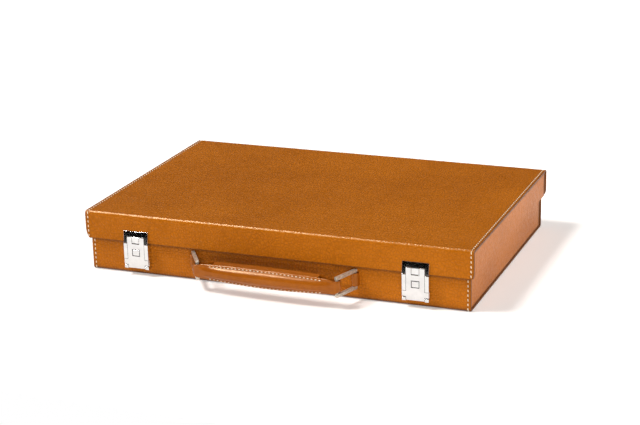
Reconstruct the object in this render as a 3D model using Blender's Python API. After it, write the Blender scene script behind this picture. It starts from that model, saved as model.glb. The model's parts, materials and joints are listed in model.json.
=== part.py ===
"""A flat leather case for poker chips: two leather-covered wooden halves on back hinges,
two spring latches, a folding handle on two rings, and chip and card trays inside.

The origin is the middle of the underside. +X runs along the front to the right, +Y to the
back and +Z up. Sizes are in metres.
"""

import math

import bmesh
import bpy
from mathutils import Matrix

# The whole case, measured over the lid
CASE_WIDTH = 0.400
CASE_DEPTH = 0.2688
CASE_HEIGHT = 0.0616
PARTING_HEIGHT = 0.0335
LID_OVERHANG = 0.004

# Boards, leather and linings
GAP = 0.0003
LEATHER = 0.0016
WALL_BOARD = 0.006
PANEL_BOARD = 0.004
RIM_BINDING = 0.0012
LINING = 0.0008
SEAM_LIP = 0.0014
LID_EDGE_RADIUS = 0.0042
BASE_EDGE_RADIUS = 0.003
LID_CORNER_RADIUS = 0.0042
LEAST_RADIUS = 0.0004
EDGE_STEPS = 5

# Chip and card trays
CHIP_DIAMETER = 0.039
CHIP_PLAY = 0.001
TRAY_FLOOR = 0.0022
TRAY_DROP = 0.0027
TRAY_END = 0.004
ROW_LAND = 0.0036
ROW_EDGE = 0.0024
ROW_STEPS = 12
CARD_WELL_WIDTH = 0.066
CARD_WELL_LENGTH = 0.092
WELL_EDGE = 0.006
LEAST_DICE_WELL = 0.018
SCOOP_RADIUS = 0.012
SCOOP_SIDES = 20

# Back hinges
HINGE_INSET = 0.080
HINGE_LENGTH = 0.050
HINGE_LEAF = 0.0009
HINGE_LEAF_HEIGHT = 0.0185
HINGE_KNUCKLES = 5
KNUCKLE_TURN = math.radians(300)
KNUCKLE_STEPS = 14
HINGE_SCREW_SPREAD = 0.016
HINGE_SCREW_OFFSET = 0.0115

# Screws
SCREW_SHANK_RADIUS = 0.0009
SCREW_HEAD_RADIUS = 0.0020
SCREW_HEAD_HEIGHT = 0.0008
SCREW_BITE = 0.004
SCREW_POINT = 0.0012
SCREW_SIDES = 8

# Front latches
LATCH_INSET = 0.0558
LATCH_WIDTH = 0.0262
LATCH_FOOT = 0.0074
LATCH_RISE = 0.0120
LATCH_PROUD = 0.0026
LATCH_SHEET = 0.0012
RAIL_WIDTH = 0.0038
HASP_THICKNESS = 0.0015
HASP_KNUCKLE_RADIUS = 0.0018
HASP_PIN_RADIUS = 0.0008
HASP_WING_HEIGHT = 0.0095
HASP_REACH = 0.0063
PRONG_WIDTH = 0.0050
CATCH_TOP_EDGE = 0.0007
STUD_RADIUS = 0.001
BUTTON_WIDTH = 0.007
BUTTON_HEIGHT = 0.006
BUTTON_DROP = 0.0095
BUTTON_TRAVEL = 0.0008
BUTTON_FLANGE = 0.001
BUTTON_FLANGE_THICKNESS = 0.0007
BUTTON_WINDOW_PLAY = 0.0006
COLLAR_WALL = 0.0012
PLATE_STUD_X = 0.0065
PLATE_STUD_DROP = 0.0036
PLATE_STUD_RISE = 0.0085
ROUND_SIDES = 12

# Handle, rings and ring keepers
RING_SPACING = 0.1674
RING_REACH = 0.0270
RING_HALF_HEIGHT = 0.0085
RING_BAR = 0.003
RING_STANDOFF = 0.0026
LEFT_LEAN = math.radians(33.2)
RIGHT_LEAN = math.radians(18.8)
HANDLE_DROP = 0.0123
HANDLE_TRAVEL = 0.012
HANDLE_LEATHER = 0.0018
HANDLE_FLANGE = 0.0026
GRIP_HALF_LENGTH = 0.0555
GRIP_HALF_THICKNESS = 0.0063
GRIP_HALF_HEIGHT = 0.0096
GRIP_BOW = 0.0024
GRIP_STATIONS = 13
HANDLE_SIDES = 20
KEEPER_THICKNESS = 0.0016
KEEPER_BITE = 0.004
KEEPER_PLAY = 0.0005

# Places worked out from the sizes above
LID_X = CASE_WIDTH / 2
LID_Y = CASE_DEPTH / 2
BASE_X = LID_X - LID_OVERHANG
BASE_Y = LID_Y - LID_OVERHANG
BASE_RIM = PARTING_HEIGHT - GAP
SKIN = LEATHER + GAP
FLOOR_TOP = SKIN + PANEL_BOARD + GAP + LINING
INNER_X = BASE_X - SEAM_LIP - SKIN - WALL_BOARD - GAP - LINING
INNER_Y = BASE_Y - SKIN - WALL_BOARD - GAP - LINING

TRAY_BOTTOM = FLOOR_TOP + GAP
TRAY_TOP = BASE_RIM - TRAY_DROP
ROW_RADIUS = (CHIP_DIAMETER + CHIP_PLAY) / 2
ROW_PITCH = 2 * ROW_RADIUS + ROW_LAND
LEAST_CARD_TRAY = CARD_WELL_WIDTH + 2 * WELL_EDGE
ROWS = int((INNER_X - LEAST_CARD_TRAY / 2 - 2 * ROW_EDGE) // ROW_PITCH)
CHIP_TRAY_WIDTH = ROWS * ROW_PITCH - ROW_LAND + 2 * ROW_EDGE
CARD_TRAY_X = INNER_X - CHIP_TRAY_WIDTH - 2 * GAP

KNUCKLE_BORE = (LID_OVERHANG - HINGE_LEAF) / 2
KNUCKLE_RADIUS = KNUCKLE_BORE + HINGE_LEAF
HINGE_X = LID_X - HINGE_INSET
HINGE_Y = BASE_Y + GAP + KNUCKLE_RADIUS
HINGE_Z = PARTING_HEIGHT - GAP - KNUCKLE_RADIUS

LATCH_X = LID_X - LATCH_INSET
LATCH_FRONT = LID_OVERHANG + LATCH_PROUD
HASP_BACK = LATCH_FRONT - HASP_THICKNESS
HASP_HALF = LATCH_WIDTH / 2 - RAIL_WIDTH - GAP
HASP_AXIS_OUT = LATCH_FRONT - HASP_KNUCKLE_RADIUS
HASP_AXIS_Z = LATCH_FOOT + HASP_KNUCKLE_RADIUS
WING_TOP = LATCH_FOOT + HASP_WING_HEIGHT
BUTTON_Z = PARTING_HEIGHT - BUTTON_DROP

BAR_RADIUS = RING_BAR / 2
RING_Y = -BASE_Y - RING_STANDOFF
LEFT_BAR_X = -RING_SPACING / 2 + RING_REACH * math.sin(LEFT_LEAN)
RIGHT_BAR_X = RING_SPACING / 2 - RING_REACH * math.sin(RIGHT_LEAN)
LEFT_BAR_OUT = RING_REACH * math.cos(LEFT_LEAN)
RIGHT_BAR_OUT = RING_REACH * math.cos(RIGHT_LEAN)
BAR_HALF = math.hypot(RIGHT_BAR_X - LEFT_BAR_X, RIGHT_BAR_OUT - LEFT_BAR_OUT) / 2


def bar_drift(lean):
    """Half of how far a ring bar strays from the handle's straight slide, at worst."""
    start = RING_REACH * math.cos(lean)
    folded = math.acos((start - HANDLE_TRAVEL) / RING_REACH)
    return (RING_REACH * math.cos((lean + folded) / 2) - start + HANDLE_TRAVEL / 2) / 2


BAR_DRIFT = max(bar_drift(LEFT_LEAN), bar_drift(RIGHT_LEAN))
SLOT_HALF = BAR_RADIUS + BAR_DRIFT + GAP
HANDLE_END_HALF = SLOT_HALF + HANDLE_LEATHER
HANDLE_END_HEIGHT = RING_HALF_HEIGHT - BAR_RADIUS - GAP
HANDLE_HALF = BAR_HALF + HANDLE_END_HALF
HANDLE_X = (LEFT_BAR_X + RIGHT_BAR_X) / 2
HANDLE_Y = RING_Y - (LEFT_BAR_OUT + RIGHT_BAR_OUT) / 2 - BAR_DRIFT
HANDLE_Z = PARTING_HEIGHT - HANDLE_DROP
HANDLE_YAW = -math.asin((RIGHT_BAR_OUT - LEFT_BAR_OUT) / (2 * BAR_HALF))


def finish(name, colour, roughness, metallic=0.0):
    """A plain material."""
    made = bpy.data.materials.new(name)
    made.use_nodes = True
    shader = made.node_tree.nodes["Principled BSDF"]
    shader.inputs["Base Color"].default_value = (*colour, 1.0)
    shader.inputs["Roughness"].default_value = roughness
    shader.inputs["Metallic"].default_value = metallic
    return made


def add_object(name, points, faces, material, parent=None):
    """One closed mesh, given in the case's own frame, with its faces pointing out."""
    mesh = bpy.data.meshes.new(name)
    mesh.from_pydata(points, [], faces)
    shape = bmesh.new()
    shape.from_mesh(mesh)
    bmesh.ops.recalc_face_normals(shape, faces=shape.faces)
    shape.to_mesh(mesh)
    shape.free()
    obj = bpy.data.objects.new(name, mesh)
    bpy.context.scene.collection.objects.link(obj)
    if material:
        mesh.materials.append(material)
    if parent:
        obj.parent = parent
        obj.matrix_parent_inverse = Matrix.Translation(parent.location).inverted()
    return obj


def add_pivot(name, location):
    """An empty on a joint's axis, which carries what turns or slides there."""
    pivot = bpy.data.objects.new(name, None)
    pivot.location = location
    bpy.context.scene.collection.objects.link(pivot)
    return pivot


def smooth(obj):
    """Shades the round faces smooth and keeps the corners sharp."""
    obj.data.shade_smooth()
    obj.data.set_sharp_from_angle(angle=math.radians(35))
    return obj


def placed(axis, along, u, v):
    """A point from its distance along an axis and its two other coordinates, in X, Y, Z order."""
    return {"X": (along, u, v), "Y": (u, along, v), "Z": (u, v, along)}[axis]


def prism(name, outline, axis, low, high, material=None, parent=None):
    """An outline carried along one axis."""
    count = len(outline)
    points = [placed(axis, along, u, v) for along in (low, high) for u, v in outline]
    faces = [list(range(count)), list(range(count, 2 * count))]
    for i in range(count):
        j = (i + 1) % count
        faces.append((i, j, count + j, count + i))
    return add_object(name, points, faces, material, parent)


def block(name, low, high, material=None, parent=None):
    """A box between two corners."""
    outline = [(low[0], low[1]), (high[0], low[1]), (high[0], high[1]), (low[0], high[1])]
    return prism(name, outline, "Z", low[2], high[2], material, parent)


def arc(u, v, radius, start, end, steps):
    """Points on an arc, both ends included, with angles in radians."""
    angles = [start + (end - start) * i / steps for i in range(steps + 1)]
    return [(u + radius * math.cos(a), v + radius * math.sin(a)) for a in angles]


def circle(u, v, radius, sides):
    return arc(u, v, radius, 0, 2 * math.pi * (sides - 1) / sides, sides - 1)


def turned(profile, origin, axis, way, sides):
    """Points and faces of a body turned about an axis, from its (distance along, radius) profile."""
    points = []
    for along, radius in profile:
        for u, v in circle(0, 0, radius, sides):
            offset = placed(axis, way * along, u, v)
            points.append(tuple(origin[k] + offset[k] for k in range(3)))
    last = (len(profile) - 1) * sides
    faces = [list(range(sides)), list(range(last, last + sides))]
    for start in range(0, last, sides):
        for i in range(sides):
            j = (i + 1) % sides
            faces.append((start + i, start + j, start + sides + j, start + sides + i))
    return points, faces


def turned_group(name, profile, origins, axis, way, sides, material=None, parent=None):
    """Several equal turned bodies in one object."""
    points, faces = [], []
    for origin in origins:
        more_points, more_faces = turned(profile, origin, axis, way, sides)
        faces += [[i + len(points) for i in face] for face in more_faces]
        points += more_points
    return smooth(add_object(name, points, faces, material, parent))


def combine(obj, operation, tools):
    """Adds or takes away helper shapes, which are kept out of the model itself."""
    for tool in tools:
        tool.hide_render = True
        tool.display_type = "WIRE"
        step = obj.modifiers.new(tool.name, "BOOLEAN")
        step.operation = operation
        step.solver = "EXACT"
        step.object = tool
    return obj


def cut(obj, *tools):
    return combine(obj, "DIFFERENCE", tools)


def unite(obj, *tools):
    return combine(obj, "UNION", tools)


def section_outline(half_y, face, rim, radius, inset):
    """The case's cross-section in (y, z): down from the front rim, round the closed face, up at the back."""
    way = 1 if rim > face else -1
    side = half_y - inset
    bend = max(radius - inset, LEAST_RADIUS)
    front = [(-side, rim)]
    for u, v in arc(0, 0, bend, 0, math.pi / 2, EDGE_STEPS):
        front.append((-side + bend - u, face + way * (inset + bend - v)))
    return front + [(-y, z) for y, z in reversed(front)]


def round_rim_corners(obj, half_x, rim, radius):
    """Rounds the free corners of the front and back leather at the lid's rim."""
    shape = bmesh.new()
    shape.from_mesh(obj.data)
    corners = []
    for edge in shape.edges:
        ends = [vert.co for vert in edge.verts]
        at_rim = all(abs(co.z - rim) < GAP / 2 for co in ends)
        at_end = all(abs(abs(co.x) - half_x) < GAP / 2 for co in ends)
        if at_rim and at_end and ends[0].x * ends[1].x > 0:
            corners.append(edge)
    bmesh.ops.bevel(
        shape, geom=corners, offset=radius, segments=EDGE_STEPS, profile=0.5, affect="EDGES"
    )
    shape.to_mesh(obj.data)
    shape.free()


def make_half(prefix, panel_name, half_x, half_y, face, rim, radius, finishes, parent):
    """One half of the case: boards inside, leather outside, binding on the rim and a suede lining."""
    way = 1 if rim > face else -1
    bend = min(radius, SKIN + PANEL_BOARD)
    inside_x = half_x - SEAM_LIP - SKIN
    inside_y = half_y - SKIN
    panel_inner = face + way * (SKIN + PANEL_BOARD)
    wall_top = rim - way * (RIM_BINDING + GAP)
    made = {}

    outline = section_outline(half_y, face, rim, bend, 0)
    outline += reversed(section_outline(half_y, face, rim, bend, LEATHER))
    name = prefix + "_leather_wrap"
    made["wrap"] = smooth(prism(name, outline, "X", -half_x, half_x, finishes["leather"], parent))

    for side, label in ((-1, "left"), (1, "right")):
        name = f"{prefix}_{label}_leather"
        outline = section_outline(half_y, face, rim, bend, SKIN)
        outer = side * (half_x - SEAM_LIP)
        prism(name, outline, "X", outer - side * LEATHER, outer, finishes["leather"], parent)

    outline = section_outline(half_y, face, panel_inner, bend, SKIN)
    prism(panel_name, outline, "X", -inside_x, inside_x, finishes["wood"], parent)

    low, high = sorted((panel_inner + way * GAP, wall_top))
    for side, label in ((-1, "front"), (1, "back")):
        outer, inner = side * inside_y, side * (inside_y - WALL_BOARD)
        long, short = inside_x - GAP, inside_x - WALL_BOARD - GAP
        outline = [(-long, outer), (long, outer), (short, inner), (-short, inner)]
        name = f"{prefix}_{label}_board"
        made[label] = prism(name, outline, "Z", low, high, finishes["wood"], parent)
    for side, label in ((-1, "left"), (1, "right")):
        outer, inner = side * inside_x, side * (inside_x - WALL_BOARD)
        long, short = inside_y - GAP, inside_y - WALL_BOARD - GAP
        outline = [(outer, -long), (outer, long), (inner, short), (inner, -short)]
        name = f"{prefix}_{label}_board"
        made[label] = prism(name, outline, "Z", low, high, finishes["wood"], parent)

    low, high = sorted((rim - way * RIM_BINDING, rim))
    name = prefix + "_rim_binding"
    binding = block(
        name, (-inside_x, -inside_y, low), (inside_x, inside_y, high), finishes["leather"], parent
    )
    mouth_x, mouth_y = inside_x - WALL_BOARD, inside_y - WALL_BOARD
    cut(
        binding,
        block(name + "_mouth", (-mouth_x, -mouth_y, low - GAP), (mouth_x, mouth_y, high + GAP)),
    )

    lined_x, lined_y = mouth_x - GAP, mouth_y - GAP
    low, high = sorted((panel_inner + way * GAP, wall_top))
    name = prefix + "_lining"
    lining = block(
        name, (-lined_x, -lined_y, low), (lined_x, lined_y, high), finishes["suede"], parent
    )
    if way > 0:
        low, high = low + LINING, high + LINING
    else:
        low, high = low - LINING, high - LINING
    space_x, space_y = lined_x - LINING, lined_y - LINING
    cut(lining, block(name + "_space", (-space_x, -space_y, low), (space_x, space_y, high)))
    return made


def make_chip_tray(label, side, finishes):
    """A block with half-round rows, in which the chips stand on edge."""
    outer = side * (INNER_X - GAP)
    inner = outer - side * CHIP_TRAY_WIDTH
    low_x, high_x = sorted((outer, inner))
    end_y = INNER_Y - GAP
    name = f"chip_tray_{label}"
    tray = block(
        name, (low_x, -end_y, TRAY_BOTTOM), (high_x, end_y, TRAY_TOP), finishes["tray"]
    )
    middle_z = TRAY_BOTTOM + TRAY_FLOOR + ROW_RADIUS
    clear_z = max(TRAY_TOP, middle_z) + TRAY_FLOOR
    for row in range(ROWS):
        x = low_x + ROW_EDGE + ROW_RADIUS + row * ROW_PITCH
        outline = arc(x, middle_z, ROW_RADIUS, -math.pi, 0, ROW_STEPS)
        outline += [(x + ROW_RADIUS, clear_z), (x - ROW_RADIUS, clear_z)]
        row_end = end_y - TRAY_END
        cut(tray, prism(f"{name}_row_{row + 1}", outline, "Y", -row_end, row_end))
    return smooth(tray)


def make_card_tray(finishes):
    """The middle block, with wells for packs of cards and a shorter one for dice."""
    end_y = INNER_Y - GAP
    tray = block(
        "card_tray",
        (-CARD_TRAY_X, -end_y, TRAY_BOTTOM),
        (CARD_TRAY_X, end_y, TRAY_TOP),
        finishes["tray"],
    )
    half = CARD_WELL_WIDTH / 2
    low_z, high_z = TRAY_BOTTOM + TRAY_FLOOR, TRAY_TOP + TRAY_FLOOR
    land = CARD_TRAY_X - half
    scoop = min(SCOOP_RADIUS, land - WELL_EDGE / 2)
    packs = int((2 * end_y - WELL_EDGE) // (CARD_WELL_LENGTH + WELL_EDGE))
    start = -end_y + WELL_EDGE
    for pack in range(packs):
        end = start + CARD_WELL_LENGTH
        well = f"card_well_{pack + 1}"
        cut(tray, block(well, (-half, start, low_z), (half, end, high_z)))
        for side in (-1, 1):
            notch = circle(side * half, (start + end) / 2, scoop, SCOOP_SIDES)
            cut(tray, prism(f"{well}_scoop_{side}", notch, "Z", low_z, high_z))
        start = end + WELL_EDGE
    end = end_y - WELL_EDGE
    if end - start > LEAST_DICE_WELL:
        cut(tray, block("dice_well", (-half, start, low_z), (half, end, high_z)))
    return smooth(tray)


def screw_profile(grip):
    """A round-headed wood screw that passes through a grip length before it bites."""
    length = grip + SCREW_BITE
    return [
        (-SCREW_HEAD_HEIGHT, SCREW_HEAD_RADIUS * 0.55),
        (-SCREW_HEAD_HEIGHT * 0.45, SCREW_HEAD_RADIUS * 0.92),
        (0, SCREW_HEAD_RADIUS),
        (0, SCREW_SHANK_RADIUS),
        (length - SCREW_POINT, SCREW_SHANK_RADIUS),
        (length, SCREW_SHANK_RADIUS / 4),
    ]


def make_screws(names, spots, face_y, way, sheets, finishes, parent=None):
    """Screws through a hinge leaf and the clearance holes that they need in each sheet."""
    grip = HINGE_LEAF + GAP + SKIN + GAP
    seat = face_y - way * GAP
    origins = [(x, seat, z) for x, z in spots]
    for name, origin in zip(names, origins):
        profile = screw_profile(grip)
        turned_group(name, profile, [origin], "Y", way, SCREW_SIDES, finishes["steel"], parent)
    bore = SCREW_SHANK_RADIUS + GAP
    profile = [(-GAP, bore), (grip + SCREW_BITE + GAP, bore)]
    holes = turned_group(names[0] + "_holes", profile, origins, "Y", way, SCREW_SIDES)
    for sheet in sheets:
        cut(sheet, holes)


def make_studs(obj, spots, start, sheets):
    """Studs on the back of a latch part, and the holes that they need in the leather and the board."""
    origins = [(x, start, z) for x, z in spots]
    length = LATCH_SHEET + GAP + SKIN + SCREW_BITE
    profile = [(0, STUD_RADIUS), (length, STUD_RADIUS)]
    unite(obj, turned_group(obj.name + "_studs", profile, origins, "Y", 1, SCREW_SIDES))
    profile = [(0, STUD_RADIUS + GAP), (length + GAP, STUD_RADIUS + GAP)]
    holes = turned_group(obj.name + "_stud_holes", profile, origins, "Y", 1, SCREW_SIDES)
    for sheet in sheets:
        cut(sheet, holes)


def knuckle_outline(side):
    """A leaf's rolled knuckle in (y, z). Side 1 is the lid's leaf, behind and up, and -1 the base's."""
    stem = KNUCKLE_RADIUS + 2 * HINGE_LEAF
    outline = [(side * KNUCKLE_RADIUS, side * stem)]
    start = 0 if side > 0 else math.pi
    outline += arc(0, 0, KNUCKLE_RADIUS, start, start - KNUCKLE_TURN, KNUCKLE_STEPS)
    outline += arc(0, 0, KNUCKLE_BORE, start - KNUCKLE_TURN, start, KNUCKLE_STEPS)
    outline.append((side * KNUCKLE_BORE, side * stem))
    return [(HINGE_Y + y, HINGE_Z + z) for y, z in outline]


def make_leaf(name, centre, side, finishes, parent=None):
    """One hinge leaf: a flat plate with every other knuckle rolled from its edge."""
    near = HINGE_Z + side * (KNUCKLE_RADIUS + GAP)
    far = HINGE_Z + side * HINGE_LEAF_HEIGHT
    low_z, high_z = sorted((near, far))
    low_y, high_y = sorted((HINGE_Y + side * KNUCKLE_BORE, HINGE_Y + side * KNUCKLE_RADIUS))
    half = HINGE_LENGTH / 2
    leaf = block(
        name, (centre - half, low_y, low_z), (centre + half, high_y, high_z), finishes["steel"], parent
    )
    pitch = HINGE_LENGTH / HINGE_KNUCKLES
    first = 0 if side < 0 else 1
    for knuckle in range(first, HINGE_KNUCKLES, 2):
        start = centre - half + knuckle * pitch
        tool = f"{name}_knuckle_{knuckle + 1}"
        unite(
            leaf,
            prism(tool, knuckle_outline(side), "X", start + GAP / 2, start + pitch - GAP / 2),
        )
    return smooth(leaf)


def make_hinges(base, lid, finishes, lid_pivot):
    """Two butt hinges under the lid's overhang at the back."""
    half = HINGE_LENGTH / 2
    base_face = HINGE_Y - KNUCKLE_BORE
    lid_face = HINGE_Y + KNUCKLE_RADIUS
    for end, label in ((-1, "left"), (1, "right")):
        centre = end * HINGE_X
        turned_group(
            f"hinge_{label}_pin",
            [(-half, KNUCKLE_BORE - GAP), (half, KNUCKLE_BORE - GAP)],
            [(centre, HINGE_Y, HINGE_Z)],
            "X",
            1,
            ROUND_SIDES,
            finishes["steel"],
        )
        for side, half_case, word, face, carrier in (
            (-1, base, "base", base_face, None),
            (1, lid, "lid", lid_face, lid_pivot),
        ):
            leaf = make_leaf(f"hinge_{label}_{word}_leaf", centre, side, finishes, carrier)
            z = HINGE_Z + side * HINGE_SCREW_OFFSET
            spots = [(centre + i * HINGE_SCREW_SPREAD, z) for i in (-1, 1)]
            names = [f"hinge_{label}_{word}_screw_{i}" for i in (1, 2)]
            sheets = [leaf, half_case["wrap"], half_case["back"]]
            make_screws(names, spots, face, -1, sheets, finishes, carrier)


def out(distance):
    """The y of a point that lies this far out from the base's front leather."""
    return -BASE_Y - distance


def latch_block(name, low_x, high_x, near, far, low_z, high_z, material=None, parent=None):
    """A box given by its distances out from the base's front leather."""
    return block(name, (low_x, out(far), low_z), (high_x, out(near), high_z), material, parent)


def make_latch_plate(label, x, finishes):
    """The fixed half of a latch: a sheet with two rails, two pin ears and the button's collar."""
    half = LATCH_WIDTH / 2
    name = f"latch_{label}_plate"
    top = BASE_RIM - GAP
    plate = latch_block(
        name, x - half, x + half, GAP, GAP + LATCH_SHEET, LATCH_FOOT, top, finishes["chrome"]
    )
    inside = GAP + LATCH_SHEET / 2
    for side in (-1, 1):
        low_x, high_x = sorted((x + side * half, x + side * (half - RAIL_WIDTH)))
        rail = latch_block(
            f"{name}_rail_{side}", low_x, high_x, inside, LATCH_FRONT, WING_TOP + GAP, top
        )
        ear = arc(out(HASP_AXIS_OUT), HASP_AXIS_Z, HASP_KNUCKLE_RADIUS, math.pi * 1.5, math.pi / 2, 8)
        ear += [
            (out(inside), HASP_AXIS_Z + HASP_KNUCKLE_RADIUS),
            (out(inside), HASP_AXIS_Z - HASP_KNUCKLE_RADIUS),
        ]
        unite(plate, rail, prism(f"{name}_ear_{side}", ear, "X", low_x, high_x))

    hole_x, hole_z = BUTTON_WIDTH / 2 + GAP, BUTTON_HEIGHT / 2 + GAP
    seat_x, seat_z = hole_x + BUTTON_FLANGE, hole_z + BUTTON_FLANGE
    wall_x, wall_z = seat_x + COLLAR_WALL, seat_z + COLLAR_WALL
    collar_out = HASP_BACK - GAP
    seat_out = GAP + LATCH_SHEET + BUTTON_TRAVEL
    low_z, high_z = BUTTON_Z - wall_z, BUTTON_Z + wall_z
    unite(
        plate,
        latch_block(f"{name}_collar", x - wall_x, x + wall_x, inside, collar_out, low_z, high_z),
    )
    low_z, high_z = BUTTON_Z - hole_z, BUTTON_Z + hole_z
    hole = latch_block(f"{name}_hole", x - hole_x, x + hole_x, 0, LATCH_FRONT, low_z, high_z)
    low_z, high_z = BUTTON_Z - seat_z, BUTTON_Z + seat_z
    seat = latch_block(f"{name}_seat", x - seat_x, x + seat_x, 0, seat_out, low_z, high_z)
    return cut(plate, hole, seat)


def make_button(label, x, finishes):
    """The push button, with a flange that keeps it in its collar."""
    half_x, half_z = BUTTON_WIDTH / 2, BUTTON_HEIGHT / 2
    flange_out = LATCH_SHEET + BUTTON_TRAVEL
    flange_back = flange_out - BUTTON_FLANGE_THICKNESS
    pivot = add_pivot(f"latch_{label}_button_slide", (x, out(flange_back), BUTTON_Z))
    name = f"latch_{label}_button"
    button = latch_block(
        name,
        x - half_x,
        x + half_x,
        flange_back + BUTTON_FLANGE_THICKNESS / 2,
        LATCH_FRONT,
        BUTTON_Z - half_z,
        BUTTON_Z + half_z,
        finishes["chrome"],
        pivot,
    )
    wide_x, wide_z = half_x + BUTTON_FLANGE, half_z + BUTTON_FLANGE
    low_z, high_z = BUTTON_Z - wide_z, BUTTON_Z + wide_z
    unite(
        button,
        latch_block(f"{name}_flange", x - wide_x, x + wide_x, flange_back, flange_out, low_z, high_z),
    )


def make_hasp(label, x, plate, finishes):
    """The swinging half of a latch, forked at the top, with wings at the bottom and a round knuckle."""
    pivot = add_pivot(f"latch_{label}_hasp_axis", (x, out(HASP_AXIS_OUT), HASP_AXIS_Z))
    name = f"latch_{label}_hasp"
    tip = PARTING_HEIGHT + HASP_REACH
    outline = arc(out(HASP_AXIS_OUT), HASP_AXIS_Z, HASP_KNUCKLE_RADIUS, math.pi, 2.25 * math.pi, 10)
    outline += [(out(HASP_BACK), HASP_AXIS_Z + 1.5 * HASP_KNUCKLE_RADIUS), (out(HASP_BACK), tip)]
    outline.append((out(LATCH_FRONT), tip))
    hasp = prism(name, outline, "X", x - HASP_HALF, x + HASP_HALF, finishes["chrome"], pivot)

    half = LATCH_WIDTH / 2
    wing_low = HASP_AXIS_Z + HASP_KNUCKLE_RADIUS + 2 * GAP
    unite(
        hasp,
        latch_block(f"{name}_wings", x - half, x + half, HASP_BACK, LATCH_FRONT, wing_low, WING_TOP),
    )
    fork_half = HASP_HALF - PRONG_WIDTH
    fork_low = PARTING_HEIGHT - 2 * GAP
    before, beyond = HASP_BACK - HASP_THICKNESS, LATCH_FRONT + HASP_THICKNESS
    fork = latch_block(
        f"{name}_fork", x - fork_half, x + fork_half, before, beyond, fork_low, tip + HASP_REACH
    )
    window_x = BUTTON_WIDTH / 2 + BUTTON_WINDOW_PLAY
    window_z = BUTTON_HEIGHT / 2 + BUTTON_WINDOW_PLAY
    low_z, high_z = BUTTON_Z - window_z, BUTTON_Z + window_z
    window = latch_block(f"{name}_window", x - window_x, x + window_x, before, beyond, low_z, high_z)

    axis = (x, out(HASP_AXIS_OUT), HASP_AXIS_Z)
    reach = half - GAP
    turned_group(
        f"latch_{label}_pin",
        [(-reach, HASP_PIN_RADIUS), (reach, HASP_PIN_RADIUS)],
        [axis],
        "X",
        1,
        ROUND_SIDES,
        finishes["steel"],
    )
    bore = HASP_PIN_RADIUS + GAP
    tunnel = turned_group(
        f"{name}_bore", [(-half - GAP, bore), (half + GAP, bore)], [axis], "X", 1, ROUND_SIDES
    )
    cut(hasp, fork, window, tunnel)
    cut(plate, tunnel)
    smooth(hasp)
    smooth(plate)


def make_catch(label, x, lid, finishes, lid_pivot):
    """The lid's half of a latch: a wedge with a square boss between two notches for the hasp's prongs."""
    half = LATCH_WIDTH / 2
    name = f"latch_{label}_catch"
    back = LID_OVERHANG + GAP
    low_z, high_z = PARTING_HEIGHT + GAP, PARTING_HEIGHT + LATCH_RISE
    outline = [
        (out(back), low_z),
        (out(LATCH_FRONT), low_z),
        (out(back + CATCH_TOP_EDGE), high_z),
        (out(back), high_z),
    ]
    catch = prism(name, outline, "X", x - half, x + half, finishes["chrome"], lid_pivot)
    notch_inner = HASP_HALF - PRONG_WIDTH - GAP
    notch_outer = HASP_HALF + GAP
    notch_top = PARTING_HEIGHT + HASP_REACH + GAP
    beyond = LATCH_FRONT + HASP_THICKNESS
    for side in (-1, 1):
        low_x, high_x = sorted((x + side * notch_inner, x + side * notch_outer))
        notch = latch_block(
            f"{name}_notch_{side}", low_x, high_x, LID_OVERHANG, beyond, low_z - GAP, notch_top
        )
        cut(catch, notch)
    boss_top = PARTING_HEIGHT + HASP_REACH
    boss = latch_block(
        f"{name}_boss", x - notch_inner, x + notch_inner, back, LATCH_FRONT, low_z, boss_top
    )
    unite(catch, boss)
    stud_x = half - RAIL_WIDTH / 2
    spots = [(x + side * stud_x, (low_z + high_z) / 2) for side in (-1, 1)]
    make_studs(catch, spots, out(back + CATCH_TOP_EDGE / 2), [lid["wrap"], lid["front"]])


def make_latches(base, lid, finishes, lid_pivot):
    """Two latches, each with its plate, button, hasp and pin on the base and its catch on the lid."""
    for side, label in ((-1, "left"), (1, "right")):
        x = side * LATCH_X
        plate = make_latch_plate(label, x, finishes)
        heights = (BASE_RIM - PLATE_STUD_DROP, LATCH_FOOT + PLATE_STUD_RISE)
        spots = [(x + end * PLATE_STUD_X, z) for end in (-1, 1) for z in heights]
        make_studs(plate, spots, out(GAP + LATCH_SHEET / 2), [base["wrap"], base["front"]])
        make_button(label, x, finishes)
        make_hasp(label, x, plate, finishes)
        make_catch(label, x, lid, finishes, lid_pivot)


def make_ring(label, side, lean, finishes):
    """A metal loop of square arms and round bars, which turns about its inner bar."""
    name = f"handle_{label}_ring"
    pivot = add_pivot(f"handle_{label}_ring_axis", (side * RING_SPACING / 2, RING_Y, HANDLE_Z))
    pivot.rotation_euler.z = -side * lean
    arms = []
    for end in (-RING_HALF_HEIGHT, RING_HALF_HEIGHT):
        low = (-BAR_RADIUS, -RING_REACH - BAR_RADIUS, end - BAR_RADIUS)
        high = (BAR_RADIUS, BAR_RADIUS, end + BAR_RADIUS)
        arms.append(block(f"{name}_arm_{len(arms) + 1}", low, high))
    bars = []
    for y in (0, -RING_REACH):
        outline = circle(0, y, BAR_RADIUS * 0.98, ROUND_SIDES)
        bar = f"{name}_bar_{len(bars) + 1}"
        bars.append(prism(bar, outline, "Z", -RING_HALF_HEIGHT, RING_HALF_HEIGHT))
    for piece in arms + bars:
        piece.parent = pivot
    ring = arms[0]
    ring.name = name
    ring.data.materials.append(finishes["chrome"])
    return smooth(unite(ring, arms[1], *bars))


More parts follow.
